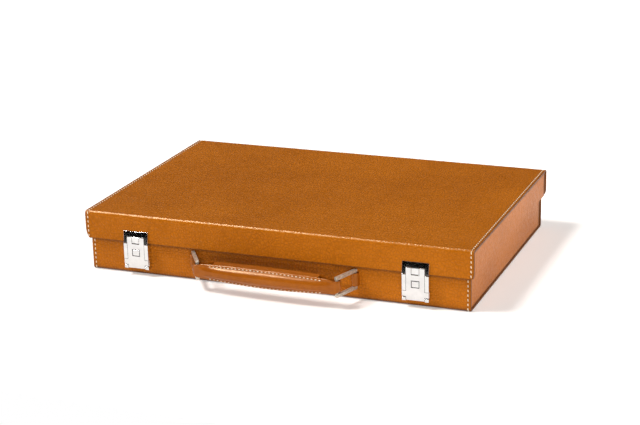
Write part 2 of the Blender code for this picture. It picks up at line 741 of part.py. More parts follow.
def make_keeper(label, side, base, finishes):
    """A leather loop round the ring's inner bar, with its tail let into the front board."""
    x = side * RING_SPACING / 2
    hole = BAR_RADIUS + GAP
    crown = hole + KEEPER_THICKNESS
    tail = SKIN + KEEPER_BITE
    outline = [(-crown, -tail), (crown, -tail)] + arc(0, RING_STANDOFF, crown, 0, math.pi, 10)
    outline = [(x + u, out(v)) for u, v in outline]
    half = RING_HALF_HEIGHT - BAR_RADIUS - KEEPER_PLAY
    low_z, high_z = HANDLE_Z - half, HANDLE_Z + half
    name = f"handle_{label}_keeper"
    keeper = prism(name, outline, "Z", low_z, high_z, finishes["leather"])
    eye = circle(x, out(RING_STANDOFF), hole, ROUND_SIDES)
    cut(keeper, prism(f"{name}_eye", eye, "Z", low_z - GAP, high_z + GAP))
    side_x = crown + GAP
    slot = latch_block(
        f"{name}_slot", x - side_x, x + side_x, -tail - GAP, GAP, low_z - GAP, high_z + GAP
    )
    cut(base["wrap"], slot)
    cut(base["front"], slot)
    return smooth(keeper)


def handle_section(x, inset_y, inset_z):
    """The handle's cross-section at one place along it: flat at the ends, full and bowed in the middle."""
    along = min(abs(x) / GRIP_HALF_LENGTH, 1)
    swell = 1 - along**2
    thick = HANDLE_END_HALF + (GRIP_HALF_THICKNESS - HANDLE_END_HALF) * swell
    past = abs(x) - BAR_HALF
    if past > 0:
        thick = math.sqrt(max(HANDLE_END_HALF**2 - past**2, 0))
    tall = HANDLE_END_HEIGHT + (GRIP_HALF_HEIGHT - HANDLE_END_HEIGHT) * swell
    power = 2 / (6 - 2.4 * swell)
    points = []
    for i in range(HANDLE_SIDES):
        turn = 2 * math.pi * (i + 0.5) / HANDLE_SIDES
        c, s = math.cos(turn), math.sin(turn)
        y = (thick - inset_y) * math.copysign(abs(c) ** power, c)
        z = (tall - inset_z) * math.copysign(abs(s) ** power, s)
        points.append((x, y - GRIP_BOW * swell, z))
    return points


def lofted(name, stations, inset_y, inset_z, pivot, material=None):
    """A closed skin over the handle's cross-sections, given in the handle's own frame."""
    points = []
    for x in stations:
        points += handle_section(x, inset_y, inset_z)
    last = (len(stations) - 1) * HANDLE_SIDES
    faces = [list(range(HANDLE_SIDES)), list(range(last, last + HANDLE_SIDES))]
    for start in range(0, last, HANDLE_SIDES):
        for i in range(HANDLE_SIDES):
            j = (i + 1) % HANDLE_SIDES
            faces.append((start + i, start + j, start + HANDLE_SIDES + j, start + HANDLE_SIDES + i))
    skin = smooth(add_object(name, points, faces, material))
    skin.parent = pivot
    return skin


def make_handle(base, finishes):
    """The grip: a stitched leather sleeve, looped round a ring bar at each end, over a padded core."""
    pivot = add_pivot("handle_slide", (HANDLE_X, HANDLE_Y, HANDLE_Z))
    pivot.rotation_euler.z = HANDLE_YAW
    step = 2 * GRIP_HALF_LENGTH / (GRIP_STATIONS - 1)
    grip = [-GRIP_HALF_LENGTH + i * step for i in range(GRIP_STATIONS)]
    ends = [BAR_HALF + HANDLE_END_HALF * math.sin(math.radians(a)) for a in (0, 30, 52, 68, 80)]
    stations = [-x for x in reversed(ends)] + grip + ends
    sleeve = lofted("handle_leather", stations, 0, 0, pivot, finishes["leather"])

    for side in (-1, 1):
        slot = arc(BAR_HALF, 0, SLOT_HALF, -math.pi / 2, math.pi / 2, 8)
        inner = GRIP_HALF_LENGTH - GAP
        slot += [(inner, SLOT_HALF), (inner, -SLOT_HALF)]
        slot = [(side * x, y) for x, y in slot]
        tool = prism(f"handle_slot_{side}", slot, "Z", -GRIP_HALF_HEIGHT, GRIP_HALF_HEIGHT)
        tool.parent = pivot
        cut(sleeve, tool)
    cut(sleeve, lofted("handle_hollow", grip, HANDLE_LEATHER, HANDLE_FLANGE, pivot))

    inside = [x * (GRIP_HALF_LENGTH - 2 * GAP) / GRIP_HALF_LENGTH for x in grip]
    insets = HANDLE_LEATHER + GAP, HANDLE_FLANGE + GAP
    lofted("handle_core", inside, *insets, pivot, finishes["felt"])
    for side, label, lean in ((-1, "left", LEFT_LEAN), (1, "right", RIGHT_LEAN)):
        make_ring(label, side, lean, finishes)
        make_keeper(label, side, base, finishes)


def main():
    for obj in list(bpy.data.objects):
        bpy.data.objects.remove(obj)
    finishes = {
        "leather": finish("tan_leather", (0.48, 0.19, 0.035), 0.45),
        "suede": finish("suede", (0.30, 0.14, 0.06), 0.95),
        "tray": finish("suede_covered_tray", (0.27, 0.12, 0.05), 0.95),
        "felt": finish("felt_core", (0.45, 0.36, 0.25), 1.0),
        "wood": finish("poplar_board", (0.62, 0.46, 0.28), 0.7),
        "chrome": finish("chrome", (0.86, 0.86, 0.87), 0.08, 1.0),
        "steel": finish("nickel_plated_steel", (0.68, 0.66, 0.62), 0.25, 1.0),
    }
    lid_pivot = add_pivot("lid_hinge_axis", (0, HINGE_Y, HINGE_Z))
    bounds = BASE_X, BASE_Y, 0, BASE_RIM
    base = make_half("base", "base_floor_board", *bounds, BASE_EDGE_RADIUS, finishes, None)
    bounds = LID_X, LID_Y, CASE_HEIGHT, PARTING_HEIGHT
    lid = make_half("lid", "lid_top_board", *bounds, LID_EDGE_RADIUS, finishes, lid_pivot)
    round_rim_corners(lid["wrap"], LID_X, PARTING_HEIGHT, LID_CORNER_RADIUS)
    make_chip_tray("left", -1, finishes)
    make_chip_tray("right", 1, finishes)
    make_card_tray(finishes)
    make_hinges(base, lid, finishes, lid_pivot)
    make_latches(base, lid, finishes, lid_pivot)
    make_handle(base, finishes)


main()
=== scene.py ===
import json
import math
import random

import bmesh
import bpy
from mathutils import Matrix, Vector, noise

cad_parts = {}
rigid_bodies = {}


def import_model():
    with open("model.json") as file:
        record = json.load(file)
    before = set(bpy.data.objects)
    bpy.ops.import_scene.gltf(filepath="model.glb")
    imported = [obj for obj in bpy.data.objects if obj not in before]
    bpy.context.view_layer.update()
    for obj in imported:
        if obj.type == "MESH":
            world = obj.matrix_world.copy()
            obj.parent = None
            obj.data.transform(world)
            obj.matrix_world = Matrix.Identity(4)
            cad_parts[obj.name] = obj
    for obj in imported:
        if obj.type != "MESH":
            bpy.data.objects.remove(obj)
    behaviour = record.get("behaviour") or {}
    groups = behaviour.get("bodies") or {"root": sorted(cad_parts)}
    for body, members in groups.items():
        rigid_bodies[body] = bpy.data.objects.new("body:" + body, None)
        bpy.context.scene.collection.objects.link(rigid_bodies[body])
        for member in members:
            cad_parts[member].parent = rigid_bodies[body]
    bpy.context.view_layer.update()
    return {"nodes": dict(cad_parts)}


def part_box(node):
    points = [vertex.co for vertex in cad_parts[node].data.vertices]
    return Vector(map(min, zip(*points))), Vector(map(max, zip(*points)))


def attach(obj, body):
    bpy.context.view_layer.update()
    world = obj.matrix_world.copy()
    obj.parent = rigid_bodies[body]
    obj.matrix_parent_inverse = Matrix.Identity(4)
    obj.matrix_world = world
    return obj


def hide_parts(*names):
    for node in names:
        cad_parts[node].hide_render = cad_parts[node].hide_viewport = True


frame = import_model()
nodes = frame["nodes"]
chance = random.Random(7)
print("frame loaded:", len(nodes), "solids")

view = {
    "place": (0.60560, -1.53329, 0.57975),
    "azimuth": 21.647,  # degrees round from the front, to the right
    "elevation": 18.228,
    "roll": -1.381,
    "lens": 95.502,
    "sensor": 36,
    "nearest": 0.01,
}


def addCamera():
    data = bpy.data.cameras.new("photoCamera")
    data.sensor_fit = "HORIZONTAL"
    data.sensor_width = view["sensor"]
    data.lens = view["lens"]
    data.clip_start = view["nearest"]
    az, el, roll = (math.radians(view[k]) for k in ("azimuth", "elevation", "roll"))
    back = Vector((math.sin(az) * math.cos(el), -math.cos(az) * math.cos(el), math.sin(el)))
    right = Vector((0, 0, 1)).cross(back).normalized()
    up = back.cross(right)
    c, s = math.cos(roll), math.sin(roll)
    turned = Matrix((c * right + s * up, c * up - s * right, back)).transposed().to_4x4()
    turned.translation = view["place"]
    camera = bpy.data.objects.new("photoCamera", data)
    camera.matrix_world = turned
    bpy.context.scene.collection.objects.link(camera)
    bpy.context.scene.camera = camera


# node trees: n adds a node with its values, w joins two sockets

def n(tree, kind, **values):
    made = tree.nodes.new(kind)
    for key, value in values.items():
        if hasattr(made, key):
            setattr(made, key, value)
        else:
            made.inputs[key].default_value = value
    return made


def w(tree, a, out, b, into):
    tree.links.new(a.outputs[out], b.inputs[into])


def feed(tree, term, b, into):  # a term is a number, a node, or a node with the name of an output
    if isinstance(term, (int, float)):
        b.inputs[into].default_value = term
    elif isinstance(term, tuple):
        w(tree, *term, b, into)
    else:
        w(tree, term, 0, b, into)


def mathOf(tree, operation, *terms):
    made = n(tree, "ShaderNodeMath", operation=operation)
    for slot, term in enumerate(terms):
        feed(tree, term, made, slot)
    return made


def levelOf(tree, amount, low, high):
    made = n(tree, "ShaderNodeMix", data_type="FLOAT")
    for slot, term in ((0, amount), (2, low), (3, high)):
        feed(tree, term, made, slot)
    return made


air = {
    "colour": (1.0, 1.0, 1.0),
    "diffuse": 0.15,
    "mirror": (  # what metal sees of it, from the front to the back
        (0.0, 0.0), (0.22, 0.01), (0.42, 0.75), (0.62, 0.65), (0.78, 0.0), (1.0, 0.0),
    ),
}


def addAir():
    world = bpy.data.worlds.new("studioAir")
    bpy.context.scene.world = world
    world.use_nodes = True
    tree = world.node_tree
    tree.nodes.clear()
    end = n(tree, "ShaderNodeOutputWorld")
    light = n(tree, "ShaderNodeLightPath")
    way = n(tree, "ShaderNodeTexCoord")
    split = n(tree, "ShaderNodeSeparateXYZ")
    w(tree, way, "Generated", split, 0)
    place = mathOf(tree, "MULTIPLY_ADD", (split, "Y"), 0.5, 0.5)  # from -1..1 to 0..1
    ahead = n(tree, "ShaderNodeValToRGB")
    stops = ahead.color_ramp.elements
    while len(stops) < len(air["mirror"]):
        stops.new(0.5)
    for stop, (at, level) in zip(stops, air["mirror"]):
        stop.position = at
        stop.color = (level, level, level, 1)
    w(tree, place, 0, ahead, 0)
    mirror = levelOf(tree, (light, "Is Glossy Ray"), air["diffuse"], ahead)
    seen = levelOf(tree, (light, "Is Camera Ray"), mirror, 1.0)
    glow = n(tree, "ShaderNodeBackground")
    glow.inputs["Color"].default_value = (*air["colour"], 1)
    w(tree, seen, 0, glow, "Strength")
    w(tree, glow, 0, end, "Surface")


lamps = {
    "keyLight": {
        "way": (-0.50, -0.27, 0.82), "power": 2.6, "spread": 17, "colour": (1, 0.985, 0.96)},
    "frontLight": {  # low and broad: in the gloss it would veil the top from behind
        "way": (0.46, -0.885, 0.08), "power": 2.0, "spread": 26, "colour": (1, 0.985, 0.965),
        "inGloss": False},
    "sideLight": {
        "way": (0.80, 0.50, 0.33), "power": 2.1, "spread": 50, "colour": (1, 0.985, 0.97)},
    "edgeLight": {  # only a gleam along the bends
        "way": (-0.45, 0.20, 0.87), "power": 3.0, "spread": 16, "colour": (1, 0.98, 0.95),
        "inMatte": False},
}


def addLamps():
    for name, lamp in lamps.items():
        data = bpy.data.lights.new(name, "SUN")
        data.energy = lamp["power"]
        data.angle = math.radians(lamp["spread"])
        data.color = lamp["colour"]
        sun = bpy.data.objects.new(name, data)
        sun.rotation_euler = Vector(lamp["way"]).to_track_quat("Z", "Y").to_euler()
        sun.visible_glossy = lamp.get("inGloss", True)
        sun.visible_diffuse = lamp.get("inMatte", True)
        bpy.context.scene.collection.objects.link(sun)


paper = {
    "wide": 5.0,
    "front": -0.42,
    "back": 3.0,
    "drop": 0.0002,
    "colour": (0.91, 0.895, 0.885),
    "lift": (0.34, 0.325, 0.315),  # brings the open floor up to white and leaves the shadows
}


def addFloor():
    made = bpy.data.materials.new("studioPaper")
    made.use_nodes = True
    tree = made.node_tree
    tree.nodes.clear()
    end = n(tree, "ShaderNodeOutputMaterial")
    matte = n(tree, "ShaderNodeBsdfDiffuse")
    matte.inputs["Color"].default_value = (*paper["colour"], 1)
    glow = n(tree, "ShaderNodeEmission")
    glow.inputs["Color"].default_value = (*paper["lift"], 1)
    light = n(tree, "ShaderNodeLightPath")
    seen = mathOf(tree, "MAXIMUM", (light, "Is Camera Ray"), (light, "Is Glossy Ray"))
    w(tree, seen, 0, glow, "Strength")
    both = n(tree, "ShaderNodeAddShader")
    w(tree, matte, 0, both, 0)
    w(tree, glow, 0, both, 1)
    w(tree, both, 0, end, "Surface")
    half, near, far = paper["wide"] / 2, paper["front"], paper["back"]
    mesh = bpy.data.meshes.new("studioFloor")
    corners = [(-half, near), (half, near), (half, far), (-half, far)]
    mesh.from_pydata([(x, y, -paper["drop"]) for x, y in corners], [], [(0, 1, 2, 3)])
    mesh.materials.append(made)
    floor = bpy.data.objects.new("studioFloor", mesh)
    bpy.context.scene.collection.objects.link(floor)


bpy.context.scene.view_settings.view_transform = "Standard"
addCamera()
addAir()
addLamps()
addFloor()
print("camera and studio set")


# finishes

noiseSpan = (0.3, 0.7)  # where most of a noise's values lie


def shaderOf(name):
    made = bpy.data.materials.new(name)
    made.use_nodes = True
    tree = made.node_tree
    return made, tree, tree.nodes["Principled BSDF"]


def noiseOf(tree, scale, detail, rough=0.55, stretch=None):
    spot = n(tree, "ShaderNodeTexCoord")
    grain = n(tree, "ShaderNodeTexNoise", Scale=scale, Detail=detail, Roughness=rough)
    if stretch:
        turn = n(tree, "ShaderNodeMapping")
        turn.inputs["Scale"].default_value = stretch
        w(tree, spot, "Object", turn, "Vector")
        w(tree, turn, 0, grain, "Vector")
    else:
        w(tree, spot, "Object", grain, "Vector")
    return grain


def spanOf(tree, source, span, to=(0, 1)):
    made = n(tree, "ShaderNodeMapRange", interpolation_type="SMOOTHSTEP")
    for key, value in zip(("From Min", "From Max", "To Min", "To Max"), (*span, *to)):
        made.inputs[key].default_value = value
    feed(tree, source, made, "Value")
    return made


def mixOf(tree, amount, a, b, blend="MIX"):
    mix = n(tree, "ShaderNodeMix", data_type="RGBA", blend_type=blend)
    feed(tree, amount, mix, 0)
    for slot, value in ((6, a), (7, b)):  # the two colours of the mix
        if isinstance(value, tuple):
            mix.inputs[slot].default_value = (*value, 1)
        else:
            w(tree, value, 2 if value.bl_idname == "ShaderNodeMix" else 0, mix, slot)
    return mix


def bumpOf(tree, shader, source, strength, relief):
    bump = n(tree, "ShaderNodeBump", Strength=strength, Distance=relief)
    w(tree, source, 0, bump, "Height")
    w(tree, bump, 0, shader, "Normal")


leatherGrain = {
    "mottleSpan": (0.35, 0.65),
    "strayScale": 0.6,  # these scales and heights are shares of the pebbles' own
    "fineScale": 3.2,
    "fineHeight": 0.35,
    "uneven": 0.8,
    "pebble": 0.34,
    "creaseWide": 0.13,
    "polishScale": 1.7,  # a share of the slow waves' scale
    "rubbedOff": 0.82,  # the share of the relief that a rubbed bend has lost
}


def leatherOf(name, look):
    made, tree, shader = shaderOf(name)
    grain = leatherGrain
    cloud = spanOf(tree, noiseOf(tree, look["cloudScale"], detail=4), noiseSpan)
    tone = mixOf(tree, cloud, look["dark"], look["light"])
    mottle = spanOf(tree, noiseOf(tree, look["mottleScale"], detail=3), grain["mottleSpan"])
    tone = mixOf(tree, mathOf(tree, "MULTIPLY", mottle, look["mottle"]), tone, look["warm"])

    spot = n(tree, "ShaderNodeTexCoord")
    bend = noiseOf(tree, look["grainScale"] * grain["strayScale"], detail=2)
    nudge = n(tree, "ShaderNodeVectorMath", operation="MULTIPLY_ADD")
    nudge.inputs[1].default_value = (look["stray"],) * 3
    w(tree, bend, 1, nudge, 0)
    w(tree, spot, "Object", nudge, 2)
    long = n(tree, "ShaderNodeMapping")
    long.inputs["Scale"].default_value = look["grainWay"]
    w(tree, nudge, 0, long, "Vector")
    cells = n(
        tree, "ShaderNodeTexVoronoi", feature="DISTANCE_TO_EDGE", Scale=look["grainScale"],
        Randomness=grain["uneven"],
    )
    w(tree, long, 0, cells, "Vector")
    pebble = spanOf(tree, (cells, "Distance"), (0.0, grain["pebble"]))
    crease = spanOf(tree, (cells, "Distance"), (0.0, grain["creaseWide"]), (look["crease"], 1))
    tone = mixOf(tree, 1.0, tone, crease, "MULTIPLY")
    # darkens to the edge colour: burnished cut edges, and painted shade under the lid's rim, at
    # the foot and along the end panels' borders
    worn = n(tree, "ShaderNodeAttribute", attribute_name="burnish")
    tone = mixOf(tree, (worn, "Fac"), tone, look["edge"])
    w(tree, tone, 2, shader, "Base Color")

    fine = noiseOf(tree, look["grainScale"] * grain["fineScale"], detail=3)
    slow = noiseOf(tree, look["waveScale"], detail=2)
    height = mathOf(tree, "MULTIPLY_ADD", fine, grain["fineHeight"], pebble)
    height = mathOf(tree, "MULTIPLY_ADD", slow, look["wave"], height)
    rubbed = n(tree, "ShaderNodeAttribute", attribute_name="rubbed")
    left = mathOf(tree, "MULTIPLY_ADD", (rubbed, "Fac"), -grain["rubbedOff"], 1.0)
    height = mathOf(tree, "MULTIPLY", height, left)
    bumpOf(tree, shader, height, look["bump"], look["relief"])
    haze = noiseOf(tree, look["waveScale"] * grain["polishScale"], detail=3)
    polish = spanOf(tree, haze, noiseSpan, (look["smooth"], look["rough"]))
    sheen = levelOf(tree, (rubbed, "Fac"), polish, look["worn"])
    w(tree, sheen, 0, shader, "Roughness")
    shader.inputs["Specular IOR Level"].default_value = look["gloss"]
    shader.inputs["Specular Tint"].default_value = (*look["tint"], 1)
    return made


wrapLook = {
    "dark": (0.365, 0.098, 0.0026), "light": (0.455, 0.128, 0.0044), "warm": (0.49, 0.142, 0.005),
    # edge: the dark of burnished cut edges, also the colour of the painted shade
    "edge": (0.105, 0.032, 0.008), "cloudScale": 9, "mottleScale": 150, "mottle": 0.22,
    "grainScale": 330, "grainWay": (1, 0.48, 0.85), "stray": 0.0016, "crease": 0.80,
    "waveScale": 130, "wave": 0.35, "bump": 0.75, "relief": 0.00052, "smooth": 0.38, "rough": 0.50,
    "worn": 0.22, "gloss": 0.30, "tint": (1.0, 0.70, 0.32),
}
# painted light: the same leather made lighter for the base, standing in for the floor's bounce
# light on it
lowerLitLook = dict(
    wrapLook, dark=(0.395, 0.107, 0.0040), light=(0.490, 0.139, 0.0062), warm=(0.53, 0.154, 0.007),
)
endLook = dict(
    wrapLook, gloss=0.5, smooth=0.42, rough=0.54, bump=0.4, tint=(1.0, 0.86, 0.70),
    grainScale=420, grainWay=(1, 0.8, 1),
)
gripLook = dict(
    wrapLook, dark=(0.270, 0.066, 0.0035), light=(0.345, 0.090, 0.0055), grainScale=620,
    bump=0.25, relief=0.00014, smooth=0.19, rough=0.27, gloss=0.42, crease=0.9, stray=0.0008,
    tint=(1.0, 0.72, 0.45),
)


def threadOf(name, look):
    made, tree, shader = shaderOf(name)
    grubby = spanOf(tree, noiseOf(tree, look["grubScale"], detail=3), noiseSpan)
    tone = mixOf(tree, grubby, look["dull"], look["clean"])
    w(tree, tone, 2, shader, "Base Color")
    twist = noiseOf(tree, look["twistScale"], detail=2)
    bumpOf(tree, shader, twist, look["bump"], look["relief"])
    rough = spanOf(tree, twist, noiseSpan, (look["smooth"], look["rough"]))
    w(tree, rough, 0, shader, "Roughness")
    return made


scratches = {"span": (0.3, 0.75), "rough": 0.6, "relief": 0.00005}


def metalOf(name, look):
    made, tree, shader = shaderOf(name)
    haze = spanOf(tree, noiseOf(tree, look["hazeScale"], detail=4), noiseSpan)
    tone = mixOf(tree, haze, look["dull"], look["bright"])
    w(tree, tone, 2, shader, "Base Color")
    shader.inputs["Metallic"].default_value = look["metal"]
    brushed = noiseOf(
        tree, look["scratchScale"], detail=3, rough=scratches["rough"], stretch=look["scratchWay"],
    )
    rough = spanOf(tree, brushed, scratches["span"], (look["smooth"], look["rough"]))
    w(tree, rough, 0, shader, "Roughness")
    bumpOf(tree, shader, brushed, look["bump"], scratches["relief"])
    return made


pile = {
    "rough": 0.7, "span": (0.25, 0.75), "fleck": (0.72, 1.12), "bump": 0.5, "relief": 0.0003,
    "matte": (0.86, 0.98), "gloss": 0.15, "sheen": 0.35, "sheenRough": 0.5,
}


def napOf(name, look):
    made, tree, shader = shaderOf(name)
    cloud = spanOf(tree, noiseOf(tree, look["cloudScale"], detail=5), noiseSpan)
    tone = mixOf(tree, cloud, look["dark"], look["light"])
    nap = noiseOf(tree, look["napScale"], detail=4, rough=pile["rough"])
    fleck = spanOf(tree, nap, pile["span"], pile["fleck"])
    tone = mixOf(tree, 1.0, tone, fleck, "MULTIPLY")
    w(tree, tone, 2, shader, "Base Color")
    bumpOf(tree, shader, nap, pile["bump"], pile["relief"])
    rough = spanOf(tree, nap, noiseSpan, pile["matte"])
    w(tree, rough, 0, shader, "Roughness")
    shader.inputs["Specular IOR Level"].default_value = pile["gloss"]
    shader.inputs["Sheen Weight"].default_value = pile["sheen"]
    shader.inputs["Sheen Roughness"].default_value = pile["sheenRough"]
    shader.inputs["Sheen Tint"].default_value = (*look["sheen"], 1)
    return made


def boardOf(name, look):
    made, tree, shader = shaderOf(name)
    streak = noiseOf(
        tree, look["ringScale"], detail=5, rough=look["ringRough"], stretch=look["grainWay"],
    )
    bands = spanOf(tree, streak, look["ringSpan"])
    tone = mixOf(tree, bands, look["dark"], look["light"])
    w(tree, tone, 2, shader, "Base Color")
    bumpOf(tree, shader, streak, look["bump"], look["relief"])
    rough = spanOf(tree, streak, noiseSpan, (look["smooth"], look["rough"]))
    w(tree, rough, 0, shader, "Roughness")
    return made


finishes = {
    "wrap": leatherOf("tanGrainLeather", wrapLook),
    # the base's lighter copy of the leather: painted bounce light
    "lower": leatherOf("tanBaseLeather", lowerLitLook),
    "end": leatherOf("tanEndLeather", endLook),
    "grip": leatherOf("tanGripLeather", gripLook),
    "thread": threadOf("waxedLinenThread", {
        "dull": (0.72, 0.58, 0.38), "clean": (0.92, 0.82, 0.62), "grubScale": 260,
        "twistScale": 3200, "bump": 0.35, "relief": 0.0001, "smooth": 0.55, "rough": 0.75}),
    "chrome": metalOf("polishedChrome", {
        "dull": (0.67, 0.67, 0.67), "bright": (0.76, 0.76, 0.76), "hazeScale": 90, "metal": 1.0,
        "scratchScale": 900, "scratchWay": (0.15, 1, 1), "smooth": 0.06, "rough": 0.10,
        "bump": 0.003}),
    "nickel": metalOf("satinNickel", {
        "dull": (0.46, 0.41, 0.33), "bright": (0.68, 0.62, 0.53), "hazeScale": 300, "metal": 0.55,
        "scratchScale": 1500, "scratchWay": (0.2, 1, 1), "smooth": 0.26, "rough": 0.40,
        "bump": 0.06}),
    "steel": metalOf("nickelSteel", {
        "dull": (0.56, 0.53, 0.48), "bright": (0.74, 0.71, 0.66), "hazeScale": 60, "metal": 1.0,
        "scratchScale": 1200, "scratchWay": (0.1, 1, 1), "smooth": 0.20, "rough": 0.34,
        "bump": 0.08}),
    "suede": napOf("tanSuede", {
        "dark": (0.235, 0.113, 0.050), "light": (0.285, 0.141, 0.064), "cloudScale": 22,
        "napScale": 1500, "sheen": (0.8, 0.55, 0.35)}),
    "tray": napOf("traySuede", {
        "dark": (0.170, 0.077, 0.033), "light": (0.215, 0.100, 0.044), "cloudScale": 26,
        "napScale": 1600, "sheen": (0.75, 0.5, 0.3)}),
    "felt": napOf("feltPadding", {
        "dark": (0.36, 0.29, 0.20), "light": (0.48, 0.40, 0.29), "cloudScale": 40,
        "napScale": 900, "sheen": (0.8, 0.7, 0.6)}),
    "wood": boardOf("poplarBoard", {
        "dark": (0.40, 0.27, 0.145), "light": (0.60, 0.45, 0.28), "ringScale": 60,
        "ringRough": 0.6, "ringSpan": (0.32, 0.68), "grainWay": (0.06, 1, 1), "bump": 0.2,
        "relief": 0.0002, "smooth": 0.6, "rough": 0.78}),
}
slotFinish = {
    "leather": "wrap", "suede": "suede", "tray": "tray", "felt": "felt", "wood": "wood",
    "chrome": "chrome", "steel": "steel",
}
print("finishes made:", len(finishes))


# building blocks

def bodyOf(nodeName):
    return nodes[nodeName].parent.name.split(":")[1]


def settle(obj, finish, body, angle):
    obj.data.materials.clear()
    obj.data.materials.append(finishes[finish])
    obj.data.shade_smooth()
    obj.data.set_sharp_from_angle(angle=math.radians(angle))
    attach(obj, body)
    return obj


def placed(name, mesh):
    obj = bpy.data.objects.new(name, mesh)
    bpy.context.scene.collection.objects.link(obj)
    return obj


def rawPiece(name, points, faces):
    mesh = bpy.data.meshes.new(name)
    mesh.from_pydata([tuple(p) for p in points], [], faces)
    shape = bmesh.new()
    shape.from_mesh(mesh)
    bmesh.ops.recalc_face_normals(shape, faces=shape.faces)
    shape.to_mesh(mesh)
    shape.free()
    return placed(name, mesh)


def tubeFaces(rows, wide, start=0):  # the two ends and the wall of a run of closed sections
    wall = []
    for i in range(rows - 1):
        a, b = start + i * wide, start + (i + 1) * wide
        for j in range(wide):
            k = (j + 1) % wide
            wall.append((a + j, a + k, b + k, b + j))
    last = start + (rows - 1) * wide
    return [list(range(start, start + wide)), list(range(last, last + wide))], wall


def tubePiece(name, points, wide):
    ends, wall = tubeFaces(len(points) // wide, wide)
    return rawPiece(name, points, ends + wall)


def markPoints(obj, word, values):
    mark = obj.data.attributes.new(word, "FLOAT", "POINT")
    mark.data.foreach_set("value", values)


def within(value):
    return min(1.0, max(0.0, value))


def bake(obj):  # puts the modifiers' result into the mesh
    depsgraph = bpy.context.evaluated_depsgraph_get()
    mesh = bpy.data.meshes.new_from_object(obj.evaluated_get(depsgraph))
    old = obj.data
    obj.modifiers.clear()
    obj.data = mesh
    mesh.name = obj.name
    bpy.data.meshes.remove(old)
    return obj


def cutAway(obj, tools):
    for tool in tools:
        step = obj.modifiers.new("cut", "BOOLEAN")
        step.operation = "DIFFERENCE"
        step.solver = "EXACT"
        step.object = tool
    bake(obj)
    for tool in tools:
        mesh = tool.data
        bpy.data.objects.remove(tool)
        bpy.data.meshes.remove(mesh)
    return obj


easing = {
    "join": 0.000004,
    "flatUnder": 1.0,  # degrees between faces that are one flat
    "sharpOver": 30,
    "shadeOver": 40,
    "flatWeight": 100,
}


def easeEdges(obj, width, segments):
    step = obj.modifiers.new("ease", "BEVEL")
    step.width = width
    step.segments = segments
    step.limit_method = "ANGLE"
    step.angle_limit = math.radians(easing["sharpOver"])
    step.use_clamp_overlap = True
    bake(obj)


def flatten(obj):  # keeps the shading of wide faces flat beside their eased edges
    step = obj.modifiers.new("flats", "WEIGHTED_NORMAL")
    step.mode = "FACE_AREA"
    step.weight = easing["flatWeight"]
    step.keep_sharp = True
    bake(obj)


rimShade = 0.85


def shadeRim(obj, rim):  # painted shade: an end panel darkens to its borders, under the overhanging edge of the outer sheet
    shape = bmesh.new()
    shape.from_mesh(obj.data)
    ys, zs = ([v.co[axis] for v in shape.verts] for axis in (1, 2))
    edges = {
        "front": (1, min(ys), 1), "back": (1, max(ys), -1),
        "bottom": (2, min(zs), 1), "top": (2, max(zs), -1),
    }
    for word, span in rim.items():
        axis, edge, way = edges[word]
        for inset in span:
            place, normal = Vector(), Vector()
            place[axis], normal[axis] = edge + way * inset, 1
            parts = shape.verts[:] + shape.edges[:] + shape.faces[:]
            bmesh.ops.bisect_plane(shape, geom=parts, plane_co=place, plane_no=normal)
    # the painted shade goes into the layer that also holds the burnished edges
    worn = shape.verts.layers.float.new("burnish")
    for corner in shape.verts:
        for word, (start, end) in rim.items():
            axis, edge, way = edges[word]
            inset = way * (corner.co[axis] - edge)
            dark = rimShade * within((end - inset) / (end - start))
            corner[worn] = max(corner[worn], dark)
    shape.to_mesh(obj.data)
    shape.free()


def eased(nodeName, name, ease, finish, rim=None):
    # the node's own shape with its sharp edges eased, as polished or turned in
    node = nodes[nodeName]
    shape = bmesh.new()
    shape.from_mesh(node.data)
    bmesh.ops.remove_doubles(shape, verts=shape.verts, dist=easing["join"])
    bmesh.ops.dissolve_limit(
        shape, angle_limit=math.radians(easing["flatUnder"]), verts=shape.verts,
        edges=shape.edges, delimit={"NORMAL"},
    )
    bmesh.ops.recalc_face_normals(shape, faces=shape.faces)
    mesh = bpy.data.meshes.new(name)
    shape.to_mesh(mesh)
    shape.free()
    obj = placed(name, mesh)
    easeEdges(obj, *ease)
    # painted shade at the borders, where the panels are given a rim
    if rim:
        shadeRim(obj, rim)
    settle(obj, finish, bodyOf(nodeName), easing["shadeOver"])
    flatten(obj)
    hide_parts(nodeName)
    return obj


def sag(point, reach, size):
    return noise.noise(Vector(point) * size) * reach


# outer leather: one sheet for each half, bent round its long edges

